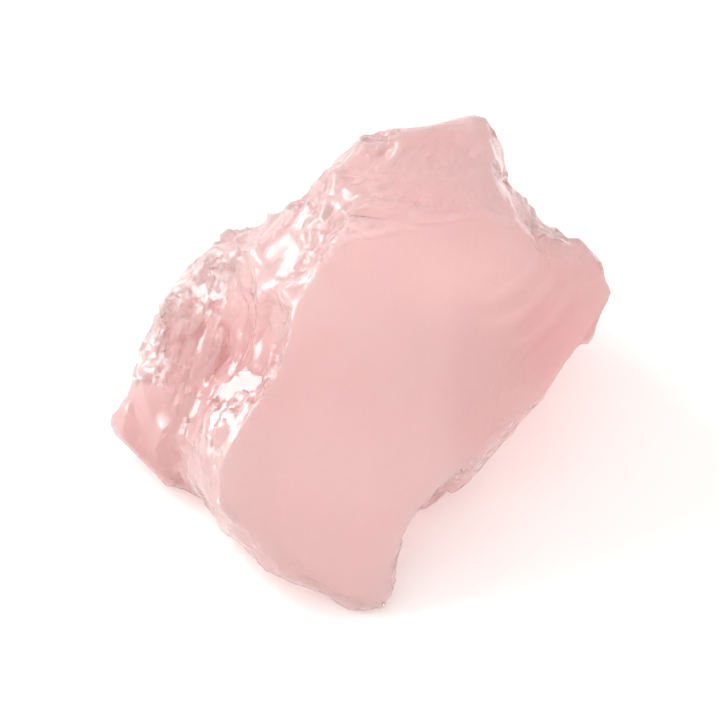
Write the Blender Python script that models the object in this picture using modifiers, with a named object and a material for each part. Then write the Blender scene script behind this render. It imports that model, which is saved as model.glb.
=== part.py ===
"""A raw chunk of rose quartz: one broken lump of pale pink stone that rests on a flat at its foot.

Run with blender --background --python part.py, or from the text editor. Metres, +Z up.
+X runs along the stone's longest side, from the hackly end with the hollow to the plain wing.
The broad fracture face looks towards -Y and up. The origin is on the resting flat, under the middle
of the stone's box.
"""

import math

import bmesh
import bpy
import numpy as np
from mathutils import Matrix, Vector, noise
from mathutils.kdtree import KDTree

NAME = "rose_quartz_chunk"
MM = 0.001

# Overall size of the finished stone. The shape below is drawn to it within a millimetre, then
# trimmed to it.
LENGTH = 52.4 * MM
DEPTH = 45.0 * MM
HEIGHT = 29.4 * MM

# Fineness: the grid that the surface is rebuilt on in millimetres, the stone's triangles, and how often
# the balls' faces are split.
SURFACE_STEP = 0.5
TRIANGLES = 10400
HOLLOW_FINENESS = 4
FACE_FINENESS = 6

# Pale milky pink, as broken.
STONE_COLOUR = (0.88, 0.53, 0.52)
STONE_ROUGHNESS = 0.25
QUARTZ_IOR = 1.544

# Corners of the main lump in millimetres. Those below 0 lie under the resting flat and are cut off.
CREST = {
    "crest, left end": (-0.6, 7.9, 28.4),
    "crest, front": (6.9, 6.0, 28.7),
    "crest, right end": (12.6, 6.3, 28.0),
    "crest, back left": (1.6, 18.3, 28.5),
    "crest, back": (7.3, 19.4, 29.3),
    "crest, back right": (13.1, 20.9, 28.6),
    "crest, back corner": (16.2, 20.6, 27.2),
}
TOP_LEFT_EDGE = {
    "top left edge, upper": (-3.7, 16.0, 26.1),
    "top left edge, middle": (-10.3, 13.2, 23.3),
    "top left edge, lower": (-16.7, 10.0, 18.8),
}
# The broad face stands a little proud here, and its own curve then trims it.
BROAD_FACE = {
    "face, left ridge top": (-1.5, 3.7, 28.0),
    "face, left ridge high": (-3.3, -2.2, 25.2),
    "face, left ridge low": (-8.3, -9.6, 17.2),
    "face, left ridge foot": (-14.0, -13.2, 10.0),
    "face, middle": (2.1, -10.3, 20.0),
    "face, right": (12.4, -6.3, 18.0),
    "face, low": (0.5, -18.8, 9.0),
    "face, front tip": (3.0, -22.6, 0.6),
    "face, front toe": (-3.7, -20.3, 2.6),
    "face, left toe": (-9.1, -18.4, 3.4),
    "face, left corner": (-12.9, -14.8, 5.0),
    "face, left shoulder": (-15.3, -12.2, 6.2),
    "face, lower right edge": (6.5, -14.8, 8.0),
    "face, right corner": (14.2, -8.9, 11.6),
    "face, right edge": (18.1, -4.3, 13.2),
}
HOLLOW_FLOOR = {
    "hollow floor, top": (-14.0, 6.5, 17.4),
    "hollow floor, middle": (-13.8, 2.3, 14.4),
    "hollow floor, low": (-18.0, -4.4, 7.6),
    "hollow floor, foot": (-15.6, -9.6, 3.6),
}
WING = {
    "wing, top": (18.4, 11.7, 24.8),
    "wing, shoulder": (20.7, 10.5, 21.5),
    "wing, outer": (25.7, 9.5, 17.4),
    "wing, tip": (27.0, 8.6, 14.6),
    "wing, under the tip": (23.6, 9.6, 10.0),
    "wing, ridge": (20.4, 2.8, 19.4),
    "wing, front edge": (22.3, 1.1, 13.9),
    "wing, front corner": (24.5, 4.9, 14.3),
}
BACK = {
    "back, left": (-18.6, 14.9, 10.0),
    "back, middle left": (-8.3, 20.3, 9.0),
    "back, middle": (4.1, 23.6, 12.0),
    "back, right": (15.5, 22.9, 13.0),
    "back, far right": (23.1, 16.9, 12.0),
}
FOOT = {
    "foot, front": (-1.0, -17.9, -1.0),
    "foot, front left": (-9.1, -13.0, -1.0),
    "foot, left": (-13.6, -8.4, -1.0),
    "foot, far left": (-19.2, -0.8, -1.0),
    "foot, back left": (-18.6, 9.3, -1.0),
    "foot, back": (-6.2, 17.7, -1.0),
    "foot, back middle": (8.3, 19.8, -1.0),
    "foot, back right": (18.1, 15.3, -1.0),
    "foot, right": (14.0, 8.8, -1.0),
}
# The wall at the left end, with the sharp rim that closes the hollow, and the low ledge at its foot.
LEFT_WALL = {
    "rim, upper left corner": (-20.8, 6.5, 16.8),
    "rim, middle": (-21.2, 1.5, 13.4),
    "rim, foot": (-20.3, -4.2, 7.6),
    "outer side, high": (-22.6, 5.5, 10.0),
    "outer side, low": (-24.2, 1.9, 6.0),
    "outer side, front": (-21.7, -4.4, 3.0),
    "outer side, back": (-21.2, 9.3, 6.0),
    "top, back": (-16.5, 9.7, 18.6),
    "inner, top": (-11.4, 6.7, 17.0),
    "inner, middle": (-11.4, 1.8, 14.0),
    "inner, low": (-15.0, -4.8, 7.6),
    "inner, front foot": (-14.5, -4.8, -1.0),
    "inner, back foot": (-12.4, 9.3, -1.0),
    "outer, front foot": (-20.2, -2.6, -1.0),
    "outer, back foot": (-20.7, 6.3, -1.0),
}
LEDGE = {
    "ledge, outer tip": (-27.2, 0.6, 4.8),
    "ledge, back top": (-25.1, 2.3, 6.2),
    "ledge, outer low": (-26.1, 0.5, 2.4),
    "ledge, front left": (-22.3, -1.0, -1.0),
    "ledge, front": (-18.8, -5.0, -1.0),
    "ledge, front top": (-18.6, -8.3, 1.7),
    "ledge, back left": (-24.4, 2.9, -1.0),
    "ledge, inner top": (-18.6, -2.2, 6.6),
    "ledge, inner right": (-12.4, -7.0, 5.0),
    "ledge, inner foot": (-12.4, -5.8, -1.0),
    "ledge, inner back": (-18.6, 5.3, 5.0),
    "ledge, inner back foot": (-19.6, 5.3, -1.0),
}

# The broad face is part of a squashed ball: its middle, the way it looks, the way its length runs,
# how far the stone reaches behind it, and its radii of curvature across and along. It ends where the
# stone leaves the ball.
FACE_MIDDLE = (1.0, -7.4, 17.9)
FACE_FACING = (0.05, -0.70, 0.71)
FACE_ALONG = (0.18, 0.69, 0.71)
FACE_REACH = 36.0
FACE_CURVE_ACROSS = 32.0
FACE_CURVE_ALONG = 120.0
FACE_BORDER = 0.8

# Shell-shaped hollows: the middle of each one's mouth, which way it faces, its width and length there,
# its depth, and the way its length runs. Millimetres.
HOLLOWS = {
    "left end, main": ((-15.7, 1.7, 15.0), (-0.40, -0.45, 0.80), 10.5, 15.0, 3.0, (-0.35, -0.7, -0.6)),
    "left end, pit": ((-10.3, -1.4, 18.0), (-0.70, -0.35, 0.63), 6.0, 9.0, 1.5, (-0.3, -0.7, -0.6)),
    "lower right edge, upper": ((8.3, -12.3, 6.4), (0.72, -0.46, -0.52), 13.0, 12.0, 1.3, (0.6, 0.6, 0.5)),
    "lower right edge, notch": ((12.8, -8.8, 9.4), (0.80, -0.45, -0.40), 6.0, 8.0, 0.9, (0.5, 0.6, 0.5)),
    "crest notch": ((17.4, 15.0, 22.2), (0.80, 0.42, 0.42), 10.0, 19.0, 2.2, (0.1, 0.5, -1)),
    "back, left scar": ((-8.3, 18.3, 14.5), (-0.35, 0.85, 0.40), 22.0, 15.0, 2.2, (1, 0.4, 0)),
    "back, right scar": ((9.3, 23.4, 19.0), (0.05, 0.98, 0.16), 17.0, 20.0, 2.0, (0.2, 0, 1)),
    "back, low scar": ((0.0, 21.8, 7.0), (-0.15, 0.93, -0.32), 20.0, 14.0, 1.6, (1, 0, 0)),
    "right side, scar": ((22.2, 17.3, 18.0), (0.80, 0.55, 0.25), 15.0, 22.0, 1.6, (0.3, 0, -1)),
    "right side, under the wing": ((19.2, 3.9, 6.0), (0.72, -0.50, -0.48), 14.0, 16.0, 1.5, (0.5, 0.8, 0)),
    "left end, outer chip": ((-23.3, 4.7, 11.5), (-0.90, 0.10, 0.42), 7.0, 9.0, 0.8, (0, 0.6, 1)),
}

# Patches of the surface, each a middle and a radius in millimetres: hackly ones, broken into small
# glinting flats, and plain ones, where the break is smooth.
HACKLY = {
    "below the ridge": ((-11.9, -7.1, 13.0), 7.0),
    "ridge, low": ((-6.7, -3.3, 20.5), 4.0),
    "ridge, middle": ((-4.6, 0.7, 24.0), 4.5),
    "ridge, high": ((-2.6, 4.8, 27.0), 4.5),
    "upper left corner": ((-17.6, 7.3, 17.5), 6.0),
    "rim": ((-22.2, 0.7, 10.5), 6.5),
    "top left edge": ((-5.2, 11.3, 25.5), 4.5),
    "crest, back left": ((1.7, 17.1, 28.0), 4.5),
    "back, left": ((-15.5, 14.3, 10.0), 10.0),
    "back, right": ((18.6, 20.3, 12.0), 8.0),
    "under the wing": ((16.5, -0.8, 4.0), 7.0),
}
PATCH_STEEPNESS = 1.6
PLAIN = {
    "crest": ((8.3, 12.3, 29.0), 9.0),
    "ledge": ((-22.2, -3.3, 3.5), 7.0),
    "back scar": ((8.3, 21.4, 20.0), 11.0),
}
# Slow swells of the whole surface, and how much of them a plain face shows. Millimetres.
SWELL_HEIGHT = 0.45
SWELL_SIZE = 11.0
SWELL_ON_PLAIN = 0.35
SWELL_SEED = 3
# Nicks along the edges, where an edge is what stands out this far from its own smoothed surface.
# Millimetres.
NICK_SIZE = 2.6
NICK_DEPTH = 0.7
EDGE_STAND_OUT = 0.35
EDGE_SPREAD = 12
NICK_SEED = 5
# Flats that the surface is broken into: their width, how far they tilt, the most that they cut in, their
# seed, and how strong they are away from the hackly patches and in them. Millimetres; a tilt is a slope.
SHARDS = {
    "wide": (6.5, 0.12, 0.9, 11, 0.9, 0.9),
    "middling": (3.4, 0.22, 0.7, 12, 0.0, 1.0),
    "small": (2.0, 0.24, 0.4, 13, 0.0, 0.6),
}
# A flat that is pushed out moves this much of the way.
PUSHED_OUT = 0.5
# Rings of a struck face: where the blow fell, the middle and the radius of the patch that shows them,
# their spacing and their height. Millimetres.
RIPPLES = {
    "right of the broad face": ((12.5, 6.0, 27.5), (18.0, 1.5, 20.5), 9.5, 2.8, 0.08),
    "back scar": ((14.5, 20.3, 29.0), (7.3, 22.0, 18.0), 13.0, 3.4, 0.16),
}


def corners_of(*groups):
    """The corners of several groups, in metres."""
    return [Vector(corner) * MM for group in groups for corner in group.values()]


def new_object(name, mesh, collection):
    thing = bpy.data.objects.new(name, mesh)
    collection.objects.link(thing)
    return thing


def as_guide(thing):
    """Marks a solid that only shapes the stone."""
    thing.hide_render = True
    thing.display_type = "WIRE"
    return thing


def hull(name, corners, collection):
    """The flat-sided solid that a set of corners spans."""
    shape = bmesh.new()
    for corner in corners:
        shape.verts.new(corner)
    result = bmesh.ops.convex_hull(shape, input=shape.verts)
    inside = [part for part in result["geom_interior"] if isinstance(part, bmesh.types.BMVert)]
    bmesh.ops.delete(shape, geom=inside, context="VERTS")
    bmesh.ops.recalc_face_normals(shape, faces=shape.faces)
    mesh = bpy.data.meshes.new(name)
    shape.to_mesh(mesh)
    shape.free()
    return new_object(name, mesh, collection)


def squashed_ball(name, centre, along, across, facing, fineness, collection):
    """A ball stretched to three half-axes, given as vectors in millimetres."""
    turn = Matrix((along, across, facing)).transposed().to_4x4()
    place = Matrix.Translation(centre * MM) @ turn @ Matrix.Scale(MM, 4)
    ball = bmesh.new()
    bmesh.ops.create_icosphere(ball, subdivisions=fineness, radius=1.0, matrix=place)
    bmesh.ops.recalc_face_normals(ball, faces=ball.faces)
    mesh = bpy.data.meshes.new(name)
    ball.to_mesh(mesh)
    ball.free()
    return as_guide(new_object(name, mesh, collection))


def axes_of(facing, along):
    """Three unit vectors: the way that a length runs across a surface, square to it, and out of it."""
    facing = Vector(facing).normalized()
    along = Vector(along)
    along = (along - facing * along.dot(facing)).normalized()
    return along, facing.cross(along), facing


def hollow_cutter(name, mouth, facing, width, length, depth, along, collection):
    """A squashed ball that leaves a shell-shaped hollow of the given width, length and depth."""
    along, across, facing = axes_of(facing, along)
    # The ball's cap of this depth has a mouth as wide as the hollow; its length is stretched to match.
    radius = (width * width / 4 + depth * depth) / (2 * depth)
    centre = Vector(mouth) + facing * (radius - depth)
    long_radius = radius * length / width
    return squashed_ball(
        name, centre, along * long_radius, across * radius, facing * radius, HOLLOW_FINENESS, collection
    )


def broad_face_shape():
    """The middle of the ball that the broad face is part of, and its half-axes' directions and lengths."""
    along, across, facing = axes_of(FACE_FACING, FACE_ALONG)
    centre = Vector(FACE_MIDDLE) - facing * FACE_REACH
    lengths = (
        math.sqrt(FACE_CURVE_ALONG * FACE_REACH),
        math.sqrt(FACE_CURVE_ACROSS * FACE_REACH),
        FACE_REACH,
    )
    return centre, (along, across, facing), lengths


def broad_face_ball(collection):
    centre, axes, lengths = broad_face_shape()
    half_axes = [axis * length for axis, length in zip(axes, lengths)]
    return squashed_ball("broad face", centre, *half_axes, FACE_FINENESS, collection)


def on_broad_face(points):
    """1 where a point lies on the broad face, falling to 0 a little way off it."""
    centre, axes, lengths = broad_face_shape()
    offset = points / MM - np.array(centre)
    reach = sum(((offset @ np.array(axis)) / length) ** 2 for axis, length in zip(axes, lengths))
    depth = np.abs(np.sqrt(reach) - 1) * FACE_REACH
    return np.clip(1.5 - depth / FACE_BORDER, 0, 1)


def combine(thing, other, operation):
    """Adds the Boolean that joins another solid to a thing, or trims the thing with it."""
    step = thing.modifiers.new(other.name, "BOOLEAN")
    step.operation = operation
    step.solver = "EXACT"
    step.object = other


def settle(thing):
    """Works the thing's modifiers into its mesh."""
    bpy.context.view_layer.update()
    seen = thing.evaluated_get(bpy.context.evaluated_depsgraph_get())
    mesh = bpy.data.meshes.new_from_object(seen)
    thing.modifiers.clear()
    thing.data = mesh


def remesh(thing, step):
    even = thing.modifiers.new("even surface", "REMESH")
    even.mode = "VOXEL"
    even.voxel_size = step
    settle(thing)


def numbers_of(items, name, width, kind=np.float64):
    """One property of a mesh's vertices or edges, as a table with this many columns."""
    table = np.empty(len(items) * width, dtype=kind)
    items.foreach_get(name, table)
    return table.reshape(-1, width)


def smoothed(points, ends, rounds):
    """Each point drawn towards the middle of its neighbours, a number of times."""
    count = np.bincount(ends.ravel(), minlength=len(points))[:, None]
    for _ in range(rounds):
        total = np.zeros_like(points)
        np.add.at(total, ends[:, 0], points[ends[:, 1]])
        np.add.at(total, ends[:, 1], points[ends[:, 0]])
        points = 0.5 * points + 0.5 * total / count
    return points


def near(points, patches):
    """How far each point lies inside the nearest of some round patches: 1 in the middle, 0 outside."""
    weight = np.zeros(len(points))
    for centre, radius in patches:
        distance = np.linalg.norm(points - np.array(centre) * MM, axis=1) / (radius * MM)
        weight = np.maximum(weight, np.clip((1 - distance) * PATCH_STEEPNESS, 0, 1))
    return weight * weight * (3 - 2 * weight)


def shards(points, outward, size, tilt, most, seed):
    """Height that breaks a surface into flats about as wide as the size, each tilted its own way."""
    dice = np.random.default_rng(seed)
    low, high = points.min(axis=0) - size, points.max(axis=0) + size
    number = int(np.prod((high - low) / size))
    finder = KDTree(number)
    for index, centre in enumerate(dice.uniform(low, high, (number, 3))):
        finder.insert(centre, index)
    finder.balance()
    patch = np.array([finder.find(point)[1] for point in points])
    members = np.maximum(np.bincount(patch, minlength=number), 1)

    def patch_mean(values):
        total = [np.bincount(patch, weights=column, minlength=number) for column in values.T]
        return np.array(total).T / members[:, None]

    middle = patch_mean(points)
    facing = patch_mean(outward)
    facing /= np.maximum(np.linalg.norm(facing, axis=1), 0.1)[:, None]
    facing += dice.normal(0, tilt, (number, 3))
    facing /= np.linalg.norm(facing, axis=1)[:, None]
    drop = ((middle[patch] - points) * facing[patch]).sum(axis=1)
    slant = np.maximum((outward * facing[patch]).sum(axis=1), 0.4)
    return np.clip(drop / slant, -most, PUSHED_OUT * most)


def swells(points, size, seed):
    """Height of slow, rounded waves about as long as the size, between -1 and 1."""
    shift = Vector((seed * 7.3, seed * 3.1, seed * 5.7))
    return np.array([noise.fractal(Vector(point) / size + shift, 1.0, 2.0, 2) for point in points])


def ripples(points, struck, middle, radius, spacing):
    """Height of the rings that run out from where a blow struck, between -1 and 1."""
    distance = np.linalg.norm(points - np.array(struck) * MM, axis=1)
    return np.sin(2 * math.pi * distance / (spacing * MM)) * near(points, [(middle, radius)])


def raise_surface(mesh, height_of):
    """Moves each point out along its normal by what a function of the points and normals says."""
    points = numbers_of(mesh.vertices, "co", 3)
    outward = numbers_of(mesh.vertex_normals, "vector", 3)
    height = height_of(points, outward)
    mesh.vertices.foreach_set("co", (points + outward * height[:, None]).ravel())
    mesh.update()


def weather(mesh):
    """Gives the clean cut shape its broken surface."""
    start = numbers_of(mesh.vertices, "co", 3)
    ends = numbers_of(mesh.edges, "vertices", 2, np.int32)
    face = on_broad_face(start)
    hackly = near(start, HACKLY.values()) * (1 - face)
    plain = np.maximum(face, near(start, PLAIN.values()) * (1 - hackly))
    broken = 1 - plain

    def swells_rings_and_nicks(points, outward):
        rolling = SWELL_ON_PLAIN + (1 - SWELL_ON_PLAIN) * broken
        height = SWELL_HEIGHT * swells(points, SWELL_SIZE * MM, SWELL_SEED) * rolling
        for *rings, tall in RIPPLES.values():
            height += tall * ripples(points, *rings) * (1 - hackly)
        edge = ((points - smoothed(points, ends, EDGE_SPREAD)) * outward).sum(axis=1) / MM
        sharp = np.clip(edge / EDGE_STAND_OUT - 0.3, 0, 1)
        height -= NICK_DEPTH * sharp * np.abs(swells(points, NICK_SIZE * MM, NICK_SEED))
        return height * MM

    raise_surface(mesh, swells_rings_and_nicks)
    for size, tilt, most, seed, elsewhere, here in SHARDS.values():
        strength = elsewhere * broken + (here - elsewhere) * hackly
        raise_surface(
            mesh,
            lambda points, outward: strength * shards(points, outward, size * MM, tilt, most * MM, seed),
        )


def keep_main_piece(mesh):
    """Removes the specks and closed bubbles that a rough surface can leave beside the stone."""
    shape = bmesh.new()
    shape.from_mesh(mesh)
    unseen = set(shape.verts)
    pieces = []
    while unseen:
        piece = [unseen.pop()]
        for vert in piece:
            beyond = [edge.other_vert(vert) for edge in vert.link_edges]
            fresh = [other for other in beyond if other in unseen]
            unseen.difference_update(fresh)
            piece.extend(fresh)
        pieces.append(piece)
    pieces.sort(key=len)
    for piece in pieces[:-1]:
        bmesh.ops.delete(shape, geom=piece, context="VERTS")
    shape.to_mesh(mesh)
    shape.free()


def cut_resting_flat(thing, collection):
    """Cuts the stone's foot off square at height 0, so that it rests on one flat."""
    below = bmesh.new()
    side = 3 * LENGTH
    bmesh.ops.create_cube(below, size=side, matrix=Matrix.Translation((0, 0, -side / 2)))
    mesh = bpy.data.meshes.new("resting flat")
    below.to_mesh(mesh)
    below.free()
    combine(thing, as_guide(new_object("resting flat", mesh, collection)), "DIFFERENCE")
    settle(thing)


def trim_to_size(mesh):
    """Brings the stone to its overall size, with the origin under the middle of its box."""
    points = numbers_of(mesh.vertices, "co", 3)
    low, high = points.min(axis=0), points.max(axis=0)
    size = np.array((LENGTH, DEPTH, HEIGHT))
    middle = np.array(((low[0] + high[0]) / 2, (low[1] + high[1]) / 2, low[2]))
    mesh.vertices.foreach_set("co", ((points - middle) * size / (high - low)).ravel())
    mesh.update()


def rose_quartz():
    """Pale milky pink stone with a glassy break."""
    material = bpy.data.materials.new("rose quartz")
    material.use_nodes = True
    shader = material.node_tree.nodes["Principled BSDF"]
    shader.inputs["Base Color"].default_value = (*STONE_COLOUR, 1)
    shader.inputs["Roughness"].default_value = STONE_ROUGHNESS
    shader.inputs["Metallic"].default_value = 0.0
    shader.inputs["IOR"].default_value = QUARTZ_IOR
    return material


def build():
    for thing in list(bpy.data.objects):
        bpy.data.objects.remove(thing)
    parts = bpy.data.collections.new(NAME)
    guides = bpy.data.collections.new("guides")
    for collection in (parts, guides):
        bpy.context.scene.collection.children.link(collection)

    lump = (CREST, TOP_LEFT_EDGE, BROAD_FACE, HOLLOW_FLOOR, WING, BACK, FOOT)
    stone = hull(NAME, corners_of(*lump), parts)
    combine(stone, broad_face_ball(guides), "INTERSECT")
    for name, corners in (("left wall", LEFT_WALL), ("ledge", LEDGE)):
        combine(stone, as_guide(hull(name, corners_of(corners), guides)), "UNION")
    for name, shape in HOLLOWS.items():
        combine(stone, hollow_cutter(name, *shape, guides), "DIFFERENCE")
    settle(stone)

    remesh(stone, SURFACE_STEP * MM)
    weather(stone.data)
    remesh(stone, SURFACE_STEP * MM)
    keep_main_piece(stone.data)
    thin = stone.modifiers.new("fewer triangles", "DECIMATE")
    thin.ratio = TRIANGLES / (2 * len(stone.data.polygons))
    settle(stone)
    cut_resting_flat(stone, guides)
    trim_to_size(stone.data)
    stone.data.materials.append(rose_quartz())


build()
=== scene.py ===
"""The looks of the rose quartz chunk: its broken surface, its milky pink stone, the light and the camera.

The stone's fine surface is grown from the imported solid, so it keeps that solid's place, size and form.
Millimetres in the tables, metres in the scene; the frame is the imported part's own.
"""

import math

import bmesh
import bpy
import numpy as np
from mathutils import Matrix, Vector, noise
from mathutils.kdtree import KDTree


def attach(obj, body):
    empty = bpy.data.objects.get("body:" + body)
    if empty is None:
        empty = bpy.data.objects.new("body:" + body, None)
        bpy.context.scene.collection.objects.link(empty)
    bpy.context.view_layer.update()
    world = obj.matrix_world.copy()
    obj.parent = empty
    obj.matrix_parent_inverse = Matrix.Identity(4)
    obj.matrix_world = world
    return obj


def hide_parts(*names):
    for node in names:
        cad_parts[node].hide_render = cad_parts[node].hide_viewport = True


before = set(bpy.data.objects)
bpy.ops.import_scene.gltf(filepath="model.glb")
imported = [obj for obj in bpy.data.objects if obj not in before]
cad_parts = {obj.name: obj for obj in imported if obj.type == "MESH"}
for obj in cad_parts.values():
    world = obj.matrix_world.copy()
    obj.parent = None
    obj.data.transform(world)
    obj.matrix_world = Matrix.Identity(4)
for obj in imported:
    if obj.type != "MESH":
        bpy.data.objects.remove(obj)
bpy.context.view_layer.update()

MM = 0.001
NODE = "rose_quartz_chunk"
TINY = 1e-12

# The fine surface: points of the solid this close are one, and its triangles are split in four this often.
SAME_POINT = 0.001
SPLITS = 2
# How the solid's flats are smoothed away. Two triangles that face ways this far apart, as the length between
# their normals, are an edge that stays.
EDGE_KEPT = 0.22
FACING_ROUNDS = 40
MOVING_ROUNDS = 30
# Points lower than this are held, the more so the lower they are, so that the foot stays flat.
FOOT_HEIGHT = 0.4
# The shading breaks at edges that turn by more degrees than this.
SHARP_EDGE = 16.0
# A triangle of the finished surface leans from the smooth one by no more than this cosine allows.
STEEPEST = 0.25
UNFOLDING_ROUNDS = 30

# The broad face is part of a squashed ball, as in the solid.
FACE_MIDDLE = (1.0, -7.4, 17.9)
FACE_FACING = (0.05, -0.70, 0.71)
FACE_ALONG = (0.18, 0.69, 0.71)
FACE_REACH = 36.0
FACE_CURVE_ACROSS = 32.0
FACE_CURVE_ALONG = 120.0
# A point is on the face within this depth of the ball, where the surface looks this much the face's way.
FACE_DEPTH = 3.5
FACE_BORDER = 0.5
FACE_TURN = (0.86, 0.96)
# How much less the broad face has of small waves and splinters.
FACE_CALM = 0.9

# Patches of the surface, each a middle and a radius.
HACKLY = {
    "below the ridge": ((-11.9, -7.1, 13.0), 8.0),
    "ridge, low": ((-6.7, -3.3, 20.5), 5.0),
    "ridge, middle": ((-4.6, 0.7, 24.0), 6.0),
    "ridge, high": ((-2.6, 4.8, 27.0), 5.0),
    "upper left corner": ((-17.6, 7.3, 17.5), 7.0),
    "rim": ((-22.2, 0.7, 10.5), 7.5),
    "ledge": ((-20.3, -1.1, 4.5), 3.5),
    "top left edge": ((-5.2, 11.3, 25.5), 4.5),
    "crest, back left": ((1.7, 17.1, 28.0), 4.5),
    "back, left": ((-15.5, 14.3, 10.0), 10.0),
    "back, right": ((18.6, 20.3, 12.0), 8.0),
}
PLAIN = {
    "crest": ((8.3, 12.3, 29.0), 9.0),
    "ledge": ((-22.2, -3.3, 3.5), 7.0),
    "back scar": ((8.3, 21.4, 20.0), 11.0),
}
HOLLOW = {
    "floor": ((-14.5, 0.0, 13.0), 9.0),
    "pit": ((-10.5, -1.5, 17.0), 5.5),
}
# Where the stone is white: partly small cracks under the surface, partly painted glints.
FROSTED_AND_GLINTING = {
    "below the ridge": ((-13.2, -8.8, 12.8), 5.5),
    "rim": ((-22.8, 1.5, 10.0), 5.0),
    "ridge": ((-4.8, 0.2, 23.5), 3.0),
    "upper left corner": ((-14.0, 6.7, 12.7), 7.8),
}
# Where deeper pink is painted: painted shade in the hollow, and painted pink light from the neighbouring
# stones on the ledge and the wing.
PAINTED_DEEP_PINK_PATCHES = {
    "hollow": ((-13.5, -1.0, 14.0), 10.0),
    "ledge": ((-22.0, -4.0, 3.0), 9.0),
    "wing": ((21.0, 2.0, 14.0), 11.0),
}
PATCH_STEEPNESS = 1.6
# How much calmer the hollow is than what lies round it.
HOLLOW_CALM = 0.5

# Scars that flakes left: their width, how far they tilt, their seed, and how strong they are in the hackly
# patches and elsewhere. The plain faces have none.
SCARS = {
    "wide": (4.2, 0.12, 21, 0.8, 1.0),
    "middling": (2.0, 0.20, 22, 1.0, 0.4),
    "fine": (1.0, 0.25, 23, 1.0, 0.0),
}
# A scar is a scoop, this steep at its rim, and moves the surface by at most this share of its width.
SCOOP = 0.2
SCAR_MOST = 0.16
# Each point takes the lowest of this many scars around it.
SCARS_TRIED = 6
# A scar that faces less this way than the surface does lies round an edge, and doesn't reach here.
SCAR_TURN = 0.35
# The scars are splinters: longer than wide by this much, this way.
SPLINTERS = ((0.35, 0.7, 0.6), 2.2)
# Splinters too small for the mesh, which the material shades: their width and their slope, and how strong
# they are outside the hackly patches.
SPLINTER_WIDTHS = {1.0: 0.55, 0.45: 0.45}
SPLINTERS_ELSEWHERE = 0.35
# The splinters' heights where the white of a cracked place, which is also a painted glint, starts and is
# full.
FLAKED = (-0.02, 0.08)
# A flat below the ridge that the splinters leave free: a place on it, the way that it faces, the round
# patches that make it up, the width of its border, and the most that it moves the surface.
FLAT_PLACE = (-12.1, -3.2, 13.4)
FLAT_FACING = (-0.42, -0.11, 0.90)
FLAT_PATCHES = {
    "left": ((-13.5, -4.0, 12.7), 1.5),
    "middle": ((-12.1, -3.2, 13.4), 1.7),
    "right": ((-10.8, -3.9, 13.9), 1.5),
}
FLAT_BORDER = 0.4
FLAT_MOST = 1.0
# The noise behind the waves: how fast its finer layers fade, how much finer each is, and how many there are.
NOISE_LAYERS = (1.0, 2.0, 2)
# Where in the noise one seed lies from the next.
SEED_SHIFT = (7.3, 3.1, 5.7)
# Streaks down the hollow: the way they run, their width and length, their seed and their height.
STREAKS = ((-0.35, -0.7, -0.6), 1.3, 9.0, 4, 0.22)
# Slow waves, which the broad face keeps, and small ones: their length, their seed and their height.
SLOW_WAVES = (6.0, 2, 0.05)
SMALL_WAVES = (1.6, 5, 0.03)
# Pale clouds in the stone and paler veils: their size, their seed, and the heights of the noise where they
# start and are full.
CLOUDS = (14.0, 6, -0.45, 0.6)
VEILS = (5.0, 7, 0.15, 0.8)
# Rings of a struck face: where the blow fell, the middle and the radius of the patch that shows them, their
# spacing and their height.
RIPPLES = {
    "foot of the broad face": ((2.0, -26.0, -2.0), (1.0, -17.0, 8.0), 7.0, 1.9, 0.03),
    "right of the broad face": ((12.5, 6.0, 27.5), (18.0, 1.5, 20.5), 9.5, 2.8, 0.06),
    "back scar": ((14.5, 20.3, 29.0), (7.3, 22.0, 18.0), 12.0, 1.3, 0.03),
}

# The stone: milky pink quartz, whose haze blurs what shows through it, under a glassy skin.
PINK = (0.965, 0.690, 0.682)
PALE_PINK = (0.975, 0.790, 0.780)
# Painted shade and painted pink light from neighbouring stones: the deeper pink of the hollow, the ledge and
# the wing.
PAINTED_DEEP_PINK = (0.900, 0.520, 0.510)
# White of small cracks, also painted over the glints.
FROST_AND_GLINT = (1.0, 0.96, 0.955)
# How much of the paler pink there is in a cloud and in a veil, and how much of the painted deeper pink there
# is in its patches.
PALE_IN_CLOUDS = 0.55
PALE_IN_VEILS = 0.25
PAINTED_DEEP_PINK_SHARE = 0.62
QUARTZ_IOR = 1.544
SEE_THROUGH = 0.72
# How much of what lies behind is hidden where the stone is white with cracks and painted glints.
CRACKS_AND_GLINTS_HIDE = 0.8
# The haze of the stone, what the clouds add to it, and the haze of the hackly patches.
HAZE = 0.55
HAZE_OF_CLOUDS = 0.10
HAZE_WHERE_BROKEN = 0.43
SKIN_ROUGHNESS = 0.16
# How deep light spreads under the surface, in millimetres and by colour.
GLOW_DEPTH = 3.0
GLOW_COLOURS = (1.0, 0.8, 0.78)
# The colour that the inside lets through, and how strongly it absorbs the rest.
ABSORBED_COLOUR = (0.96, 0.66, 0.66)
ABSORPTION = 20.0

# The view: degrees above the horizon, the millimetres of the scene that the frame spans, and the lens.
CAMERA_ELEVATION = 51.0
VIEW_SPAN = 74.0
VIEW_MIDDLE = (0.0, 0.0, 13.0)
LENS = 250.0
SENSOR = 36.0
# How far the camera sees, in metres.
CAMERA_REACH = 20.0

# The floor: its side in metres, its look, and the millimetres that it lies under the stone.
FLOOR_SIDE = 6.0
FLOOR_COLOUR = (0.90, 0.885, 0.875)
FLOOR_ROUGHNESS = 0.6
FLOOR_GAP = 0.03

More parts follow.
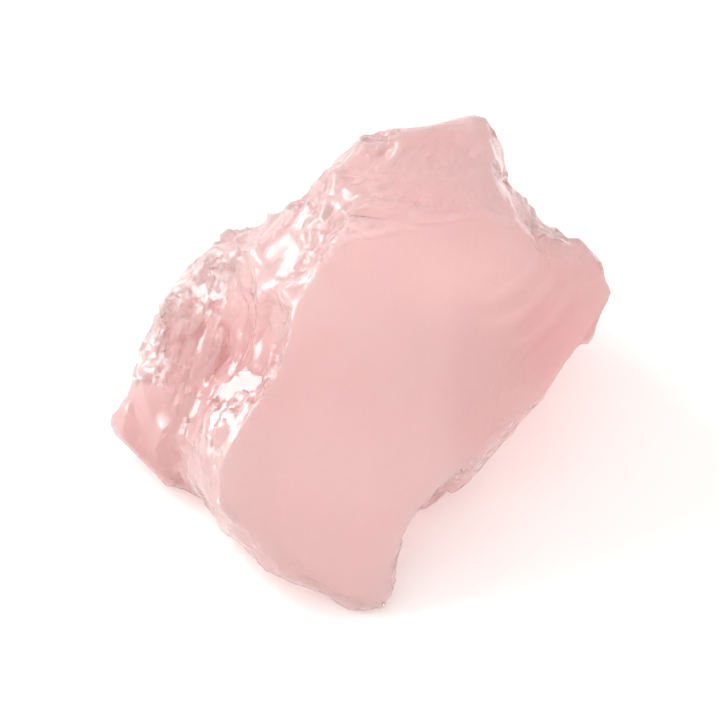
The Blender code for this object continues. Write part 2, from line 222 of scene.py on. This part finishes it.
# Soft lights: where each stands in millimetres, its side in millimetres, its power in watts and its colour.
LIGHTS = {
    "window_left_back": ((-420, 330, 400), 220, 1.5, (1.0, 0.99, 0.98)),
    "sky_above": ((60, 60, 900), 1100, 0.3, (1.0, 0.99, 0.98)),
    "low_left": ((-430, 20, 170), 180, 1.0, (1.0, 0.98, 0.97)),
    "front": ((100, -900, 420), 1200, 3.9, (1.0, 0.98, 0.96)),
}
WORLD_COLOUR = (1.0, 0.985, 0.975)
WORLD_STRENGTH = 1.02


def axes_of(facing, along):
    """Three unit vectors: the way that a length runs across a surface, square to it, and out of it."""
    facing = Vector(facing).normalized()
    along = Vector(along)
    along = (along - facing * along.dot(facing)).normalized()
    return along, facing.cross(along), facing


def step(values, low, high):
    """0 at or under the low value, 1 at or over the high one, and a smooth rise between."""
    share = np.clip((values - low) / (high - low), 0, 1)
    return share * share * (3 - 2 * share)


def on_broad_face(points, outward):
    """1 where a point lies on the broad face, falling to 0 a little way off it."""
    along, across, facing = axes_of(FACE_FACING, FACE_ALONG)
    centre = Vector(FACE_MIDDLE) - facing * FACE_REACH
    half_axes = (
        along / math.sqrt(FACE_CURVE_ALONG * FACE_REACH),
        across / math.sqrt(FACE_CURVE_ACROSS * FACE_REACH),
        facing / FACE_REACH,
    )
    offset = points / MM - np.array(centre)
    reach = np.sqrt(sum((offset @ np.array(axis)) ** 2 for axis in half_axes))
    depth = (1 - reach) * FACE_REACH
    normal = unit(sum(np.outer(offset @ np.array(axis), np.array(axis)) for axis in half_axes))
    shallow = step(-depth, -FACE_DEPTH, FACE_BORDER - FACE_DEPTH)
    return shallow * step((outward * normal).sum(axis=1), *FACE_TURN)


def near(points, patches):
    """How far each point lies inside the nearest of some round patches: 1 in the middle, 0 outside."""
    weight = np.zeros(len(points))
    for centre, radius in patches.values():
        distance = np.linalg.norm(points - np.array(centre) * MM, axis=1) / (radius * MM)
        weight = np.maximum(weight, (1 - distance) * PATCH_STEEPNESS)
    return step(weight, 0, 1)


def numbers_of(items, name, width, kind=np.float64):
    """One property of a mesh's vertices or edges, as a table with this many columns."""
    table = np.empty(len(items) * width, dtype=kind)
    items.foreach_get(name, table)
    return table.reshape(-1, width)


def gathered(into, rows, number):
    """The sum of the rows that go into each of a number of places."""
    return np.array([np.bincount(into, weights=column, minlength=number) for column in rows.T]).T


def unit(rows):
    """Each row as a vector of length 1."""
    return rows / np.maximum(np.linalg.norm(rows, axis=1), TINY)[:, None]


def edge_kept_smooth(points, corners, pairs):
    """Points moved so that small bends between triangles go and sharp edges stay.

    Each triangle's normal is first averaged with its neighbours', less so across a sharp edge, and the points
    then follow the new normals.
    """
    number = len(corners)
    sides = points[corners[:, 1]] - points[corners[:, 0]], points[corners[:, 2]] - points[corners[:, 0]]
    area_normal = np.cross(*sides)
    area = np.linalg.norm(area_normal, axis=1)
    facing = unit(area_normal)
    first, second = pairs.T
    into = np.concatenate((first, second))
    other = np.concatenate((second, first))
    for _ in range(FACING_ROUNDS):
        apart = ((facing[into] - facing[other]) ** 2).sum(axis=1)
        weight = np.exp(-apart / (2 * EDGE_KEPT**2)) * area[other]
        facing = unit(facing * area[:, None] + gathered(into, facing[other] * weight[:, None], number))
    count = np.bincount(corners.ravel(), minlength=len(points))[:, None]
    owner = np.repeat(np.arange(number), 3)
    flat = corners.ravel()
    for _ in range(MOVING_ROUNDS):
        middle = points[corners].mean(axis=1)
        gap = ((middle[owner] - points[flat]) * facing[owner]).sum(axis=1)
        points = points + gathered(flat, facing[owner] * gap[:, None], len(points)) / count
    return points


def stretched(direction, wide, long):
    """Turns places into numbers of widths across a direction and of lengths along it."""
    along = np.array(Vector(direction).normalized())
    return np.eye(3) / wide + np.outer(along, along) * (1 / long - 1 / wide)


def in_flat(points):
    """1 where a point belongs to the flat, falling to 0 over the flat's border."""
    places, radii = zip(*FLAT_PATCHES.values())
    apart = np.linalg.norm(points[:, None] - np.array(places) * MM, axis=2)
    return step((np.array(radii) * MM - apart).max(axis=1), 0, FLAT_BORDER * MM)


def to_flat(points, outward):
    """Height that brings the points of the flat's patches onto the flat."""
    facing = np.array(Vector(FLAT_FACING).normalized())
    turn = outward @ facing
    drop = (np.array(FLAT_PLACE) * MM - points) @ facing / np.maximum(turn, SCAR_TURN)
    drop = np.clip(drop, -FLAT_MOST * MM, FLAT_MOST * MM)
    return drop * in_flat(points) * (turn > SCAR_TURN)


def nearest(centres, places, count):
    """The numbers of the centres nearest to each place."""
    finder = KDTree(len(centres))
    for index, centre in enumerate(centres):
        finder.insert(centre, index)
    finder.balance()
    return np.array([[found[1] for found in finder.find_n(place, count)] for place in places])


def scars(points, outward, width, tilt, seed):
    """Height of shallow scoops side by side, about this wide and each tilted its own way.

    Each point takes the lowest of the scoops around it, so that they meet in sharp ridges.
    """
    dice = np.random.default_rng(seed)
    direction, times_longer = SPLINTERS
    shape = stretched(direction, width, width * times_longer)
    places = points @ shape
    low, high = places.min(axis=0) - 1, places.max(axis=0) + 1
    centres = dice.uniform(low, high, (int(np.prod(high - low)), 3))
    tilts = dice.normal(0, tilt, centres.shape)
    used, patch = np.unique(nearest(centres, places, 1)[:, 0], return_inverse=True)
    middle = gathered(patch, points, len(used)) / np.bincount(patch)[:, None]
    facing = unit(unit(gathered(patch, outward, len(used))) + tilts[used])
    around = nearest(middle @ shape, places, SCARS_TRIED)
    apart = middle[around] - points[:, None]
    turn = (outward[:, None] * facing[around]).sum(axis=2)
    height = (apart * facing[around]).sum(axis=2) / np.maximum(turn, SCAR_TURN)
    height += SCOOP * width * ((apart @ shape) ** 2).sum(axis=2)
    height[turn < SCAR_TURN] = np.inf
    height = height.min(axis=1)
    return np.clip(height - np.median(height), -SCAR_MOST * width, SCAR_MOST * width)


def flake_scars(points, outward, strength, width, tilt, seed):
    """Height of the scars of one size, where they have any strength."""
    scarred = strength > 0
    height = np.zeros(len(points))
    height[scarred] = scars(points[scarred], outward[scarred], width * MM, tilt, seed)
    return height * strength


def noise_at(points, shape, seed):
    """Rounded noise, between -1 and 1. The shape turns metres into wavelengths."""
    shift = Vector([seed * part for part in SEED_SHIFT])
    return np.array([noise.fractal(Vector(point) + shift, *NOISE_LAYERS) for point in points @ shape])


def waves(points, length, seed):
    """Height of rounded waves, between -1 and 1."""
    return noise_at(points, np.eye(3) / (length * MM), seed)


def blots(points, size, seed, start, full):
    """1 inside soft blots, 0 between them."""
    return step(waves(points, size, seed), start, full)


def streaks(points, direction, width, length, seed):
    """Height of long ridges side by side, as a split leaves down a hollow, between -1 and 1."""
    return noise_at(points, stretched(direction, width * MM, length * MM), seed)


def rings(points, struck, middle, radius, spacing):
    """Height of the rings that run out from where a blow struck, between -1 and 1."""
    distance = np.linalg.norm(points - np.array(struck) * MM, axis=1)
    return np.sin(2 * math.pi * distance / (spacing * MM)) * near(points, {"rings": (middle, radius)})


def unfolded(points, corners, outward):
    """Points with the places where triangles turned over, or stand up like a wall, drawn smooth."""
    count = np.bincount(corners.ravel(), minlength=len(points))[:, None]
    flat = corners.ravel()
    way = unit(outward[corners].sum(axis=1))
    for _ in range(UNFOLDING_ROUNDS):
        sides = points[corners[:, 1]] - points[corners[:, 0]], points[corners[:, 2]] - points[corners[:, 0]]
        folded = (unit(np.cross(*sides)) * way).sum(axis=1) < STEEPEST
        if not folded.any():
            break
        average = gathered(flat, np.repeat(points[corners].mean(axis=1), 3, axis=0), len(points)) / count
        moved = np.unique(corners[folded])
        points[moved] = average[moved]
    return points


def surface_of(mesh):
    """The places of a mesh's points, and the way that the surface faces at each."""
    return numbers_of(mesh.vertices, "co", 3), numbers_of(mesh.vertex_normals, "vector", 3)


def move_points(mesh, points):
    """Puts a mesh's points where a table says."""
    mesh.vertices.foreach_set("co", points.ravel())
    mesh.update()


def raise_surface(mesh, height):
    """Moves each point out along its normal by a height in metres."""
    points, outward = surface_of(mesh)
    move_points(mesh, points + outward * height[:, None])


def keep_weight(mesh, name, weight):
    """Stores a weight for each point, for the material to read."""
    mesh.attributes.new(name, "FLOAT", "POINT").data.foreach_set("value", weight.astype(np.float32))


def fine_copy(node):
    """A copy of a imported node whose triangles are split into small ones."""
    shape = bmesh.new()
    shape.from_mesh(node.data)
    bmesh.ops.remove_doubles(shape, verts=shape.verts, dist=SAME_POINT * MM)
    for _ in range(SPLITS):
        bmesh.ops.subdivide_edges(shape, edges=shape.edges, cuts=1, use_grid_fill=True)
        bmesh.ops.triangulate(shape, faces=[face for face in shape.faces if len(face.verts) > 3])
    mesh = bpy.data.meshes.new("rose_quartz_stone")
    shape.to_mesh(mesh)
    shape.free()
    piece = bpy.data.objects.new("rose_quartz_stone", mesh)
    bpy.context.scene.collection.objects.link(piece)
    return piece


def neighbours(mesh):
    """The corners of each triangle, and the two triangles at each edge."""
    corners = numbers_of(mesh.loops, "vertex_index", 1, np.int32).reshape(-1, 3)
    edge_of_corner = numbers_of(mesh.loops, "edge_index", 1, np.int32).ravel()
    order = np.argsort(edge_of_corner, kind="stable")
    return corners, order.reshape(-1, 2) // 3


def slow_forms(points, face, plain, hollow):
    """Height of the waves, the streaks down the hollow and the rings of struck faces."""
    *waved, tall = SLOW_WAVES
    height = tall * waves(points, *waved)
    *waved, tall = SMALL_WAVES
    height += tall * waves(points, *waved) * (1 - FACE_CALM * face)
    *streaked, tall = STREAKS
    height += tall * streaks(points, *streaked) * hollow * (1 - plain)
    for *struck, tall in RIPPLES.values():
        height += tall * rings(points, *struck) * plain
    return height * MM


def break_surface(mesh):
    """Loses the solid's flats and gives the stone its smooth faces, hackly patches, streaks and rings."""
    start, _ = surface_of(mesh)
    loose = np.clip(start[:, 2] / (FOOT_HEIGHT * MM), 0, 1)
    points = start + (edge_kept_smooth(start, *neighbours(mesh)) - start) * loose[:, None]
    move_points(mesh, points)
    _, smooth_outward = surface_of(mesh)
    face = on_broad_face(points, smooth_outward)
    flat = in_flat(points)
    hackly = near(points, HACKLY) * (1 - face) * (1 - flat)
    plain = np.maximum(face, near(points, PLAIN) * (1 - hackly))
    hollow = near(points, HOLLOW) * (1 - face)

    points, _ = surface_of(mesh)
    raise_surface(mesh, slow_forms(points, face, plain, hollow) * loose)
    raise_surface(mesh, to_flat(*surface_of(mesh)))
    for width, tilt, seed, here, elsewhere in SCARS.values():
        strength = (elsewhere + (here - elsewhere) * hackly) * (1 - plain)
        strength *= (1 - HOLLOW_CALM * hollow) * (1 - flat) * loose
        raise_surface(mesh, flake_scars(*surface_of(mesh), strength, width, tilt, seed))
    points, _ = surface_of(mesh)
    points = unfolded(points, neighbours(mesh)[0], smooth_outward)
    points[:, 2] = np.maximum(points[:, 2], 0)
    move_points(mesh, points)

    keep_weight(mesh, "hackly", hackly)
    keep_weight(mesh, "broad_face", face)
    # The painted deeper pink: shade in the hollow, pink light from neighbouring stones on the ledge and the
    # wing.
    keep_weight(mesh, "painted_deep_pink", near(points, PAINTED_DEEP_PINK_PATCHES))
    # White cracks, also painted glints, in the hackly patches.
    keep_weight(mesh, "frosted_and_glinting", near(points, FROSTED_AND_GLINTING) * hackly)
    keep_weight(mesh, "clouds", blots(points, *CLOUDS))
    keep_weight(mesh, "veils", blots(points, *VEILS))


class Nodes:
    """Adds shader nodes to one material and links them."""

    # A Mix node has sockets of every kind under the same names, so its colour sockets go by their numbers.
    MIX_FACTOR, MIX_FIRST, MIX_SECOND, MIX_RESULT = 0, 6, 7, 2

    def __init__(self, tree):
        self.tree = tree

    def put(self, value, socket):
        """Links an output to a socket, or sets the socket to a number, a vector or a colour."""
        if isinstance(value, bpy.types.NodeSocket):
            self.tree.links.new(value, socket)
        elif socket.type == "RGBA":
            socket.default_value = (*value, 1)
        else:
            socket.default_value = value

    def add(self, kind, inputs=None, **settings):
        """A new node, with some of its sockets filled and some of its settings set."""
        made = self.tree.nodes.new(kind)
        for name, value in settings.items():
            setattr(made, name, value)
        for name, value in (inputs or {}).items():
            self.put(value, made.inputs[name])
        return made

    def mix(self, factor, first, second):
        """The first colour where the factor is 0, the second where it is 1."""
        inputs = {self.MIX_FACTOR: factor, self.MIX_FIRST: first, self.MIX_SECOND: second}
        return self.add("ShaderNodeMix", inputs, data_type="RGBA", clamp_factor=True).outputs[self.MIX_RESULT]

    def math(self, operation, *values):
        return self.add("ShaderNodeMath", dict(enumerate(values)), operation=operation).outputs[0]

    def vector_math(self, operation, first, second):
        return self.add("ShaderNodeVectorMath", {0: first, 1: second}, operation=operation).outputs

    def splinters(self, where, width):
        """Height in millimetres of flat splinters side by side, each with its own slope of up to 1."""
        direction, times_longer = SPLINTERS
        turn = Vector(direction).to_track_quat("Z", "Y").to_euler()
        sides = (width * MM, width * MM, width * times_longer * MM)
        inputs = {"Vector": where, "Rotation": turn, "Scale": sides}
        place = self.add("ShaderNodeMapping", inputs, vector_type="TEXTURE").outputs["Vector"]
        cells = self.add("ShaderNodeTexVoronoi", {"Vector": place, "Scale": 1.0}).outputs
        # A cell's colour is its own, with parts from 0 to 1, so half the slope either way.
        half_slope = self.vector_math("SUBTRACT", cells["Color"], (0.5, 0.5, 0.5))["Vector"]
        away = self.vector_math("SUBTRACT", place, cells["Position"])["Vector"]
        half_height = self.vector_math("DOT_PRODUCT", half_slope, away)["Value"]
        return self.math("MULTIPLY", half_height, 2 * width)

    def between(self, value, low, high):
        """0 at or under the low value, 1 at or over the high one."""
        inputs = {"Value": value, "From Min": low, "From Max": high}
        return self.add("ShaderNodeMapRange", inputs, interpolation_type="SMOOTHSTEP").outputs["Result"]

    def weight(self, name):
        return self.add("ShaderNodeAttribute", attribute_name=name).outputs["Fac"]


def stone_colour(nodes, cracked_and_glinting):
    """Pink with paler clouds and veils, deeper pink painted as shade in the hollow and as the neighbours'
    pink light on the ledge and wing, and white where it is cracked and where glints are painted.
    """
    colour = nodes.mix(nodes.math("MULTIPLY", nodes.weight("clouds"), PALE_IN_CLOUDS), PINK, PALE_PINK)
    colour = nodes.mix(nodes.math("MULTIPLY", nodes.weight("veils"), PALE_IN_VEILS), colour, PALE_PINK)
    colour = nodes.mix(nodes.math("MULTIPLY", nodes.weight("painted_deep_pink"), PAINTED_DEEP_PINK_SHARE), colour, PAINTED_DEEP_PINK)
    return nodes.mix(cracked_and_glinting, colour, FROST_AND_GLINT)


def stone_haze(nodes):
    """How much the stone blurs what shows through it."""
    smooth = nodes.math("ADD", HAZE, nodes.math("MULTIPLY", nodes.weight("clouds"), HAZE_OF_CLOUDS))
    spread = nodes.math("SUBTRACT", HAZE_WHERE_BROKEN, smooth)
    return nodes.math("ADD", smooth, nodes.math("MULTIPLY", spread, nodes.weight("hackly")))


def stone_relief(nodes, splinters):
    """The splinters that are too small for the mesh."""
    uneven = nodes.math("SUBTRACT", 1.0, nodes.math("MULTIPLY", nodes.weight("broad_face"), FACE_CALM))
    elsewhere = nodes.math("MULTIPLY", uneven, SPLINTERS_ELSEWHERE)
    rugged = nodes.math("MAXIMUM", nodes.weight("hackly"), elsewhere)
    sizes = (nodes.math("MULTIPLY", splinters[width], slope) for width, slope in SPLINTER_WIDTHS.items())
    height = nodes.math("MULTIPLY", nodes.math("ADD", *sizes), rugged)
    return nodes.add("ShaderNodeBump", {"Height": height, "Strength": 1.0, "Distance": MM}).outputs["Normal"]


def rose_quartz():
    """Milky, faintly clouded pink quartz, with deeper pink painted for shade and the neighbours' light, white
    where it is cracked and where glints are painted, under a glassy skin.
    """
    material = bpy.data.materials.new("rose_quartz")
    material.use_nodes = True
    nodes = Nodes(material.node_tree)
    where = nodes.add("ShaderNodeTexCoord").outputs["Object"]
    splinters = {width: nodes.splinters(where, width) for width in SPLINTER_WIDTHS}
    flaked = nodes.between(nodes.math("ADD", *splinters.values()), *FLAKED)
    # White where cracked, which also paints the glints.
    cracked_and_glinting = nodes.math("MULTIPLY", nodes.weight("frosted_and_glinting"), flaked)
    hidden = nodes.math("MULTIPLY", cracked_and_glinting, CRACKS_AND_GLINTS_HIDE)
    look = {
        "Base Color": stone_colour(nodes, cracked_and_glinting),
        "Roughness": stone_haze(nodes),
        "Transmission Weight": nodes.math("MULTIPLY", nodes.math("SUBTRACT", 1.0, hidden), SEE_THROUGH),
        "Normal": stone_relief(nodes, splinters),
        "IOR": QUARTZ_IOR,
        "Coat Weight": 1.0,
        "Coat Roughness": SKIN_ROUGHNESS,
        "Coat IOR": QUARTZ_IOR,
        "Subsurface Weight": 1.0,
        "Subsurface Radius": GLOW_COLOURS,
        "Subsurface Scale": GLOW_DEPTH * MM,
    }
    for name, value in look.items():
        nodes.put(value, material.node_tree.nodes["Principled BSDF"].inputs[name])
    inside = nodes.add("ShaderNodeVolumeAbsorption", {"Color": ABSORBED_COLOUR, "Density": ABSORPTION})
    nodes.put(inside.outputs["Volume"], material.node_tree.nodes["Material Output"].inputs["Volume"])
    return material


def plain_material(name, colour, roughness):
    material = bpy.data.materials.new(name)
    material.use_nodes = True
    shader = material.node_tree.nodes["Principled BSDF"]
    shader.inputs["Base Color"].default_value = (*colour, 1)
    shader.inputs["Roughness"].default_value = roughness
    return material


def stone_piece():
    piece = fine_copy(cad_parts[NODE])
    break_surface(piece.data)
    piece.data.shade_smooth()
    piece.data.set_sharp_from_angle(angle=math.radians(SHARP_EDGE))
    piece.data.materials.clear()
    piece.data.materials.append(rose_quartz())
    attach(piece, "root")
    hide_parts(NODE)
    return piece


def floor():
    bpy.ops.mesh.primitive_plane_add(size=FLOOR_SIDE, location=(0, 0, -FLOOR_GAP * MM))
    ground = bpy.context.object
    ground.name = "floor"
    ground.data.materials.append(plain_material("floor", FLOOR_COLOUR, FLOOR_ROUGHNESS))


def lights():
    for name, (place, side, power, colour) in LIGHTS.items():
        light = bpy.data.lights.new(name, "AREA")
        light.size = side * MM
        light.energy = power
        light.color = colour
        lamp = bpy.data.objects.new(name, light)
        lamp.location = Vector(place) * MM
        lamp.rotation_euler = (Vector(VIEW_MIDDLE) * MM - lamp.location).to_track_quat("-Z", "Y").to_euler()
        bpy.context.scene.collection.objects.link(lamp)
    world = bpy.data.worlds.new("studio")
    world.use_nodes = True
    background = world.node_tree.nodes["Background"]
    background.inputs["Color"].default_value = (*WORLD_COLOUR, 1)
    background.inputs["Strength"].default_value = WORLD_STRENGTH
    bpy.context.scene.world = world


def camera():
    """Looks along +Y and down at the stone, from far off through a long lens."""
    view = bpy.data.cameras.new("camera")
    view.lens = LENS
    view.sensor_width = SENSOR
    view.clip_end = CAMERA_REACH
    distance = VIEW_SPAN * MM * LENS / SENSOR
    rise = math.radians(CAMERA_ELEVATION)
    eye = bpy.data.objects.new("camera", view)
    middle = Vector(VIEW_MIDDLE) * MM
    eye.location = middle + distance * Vector((0, -math.cos(rise), math.sin(rise)))
    eye.rotation_euler = (middle - eye.location).to_track_quat("-Z", "Y").to_euler()
    bpy.context.scene.collection.objects.link(eye)
    bpy.context.scene.camera = eye


stone_piece()
floor()
lights()
camera()
bpy.context.scene.view_settings.view_transform = "Standard"
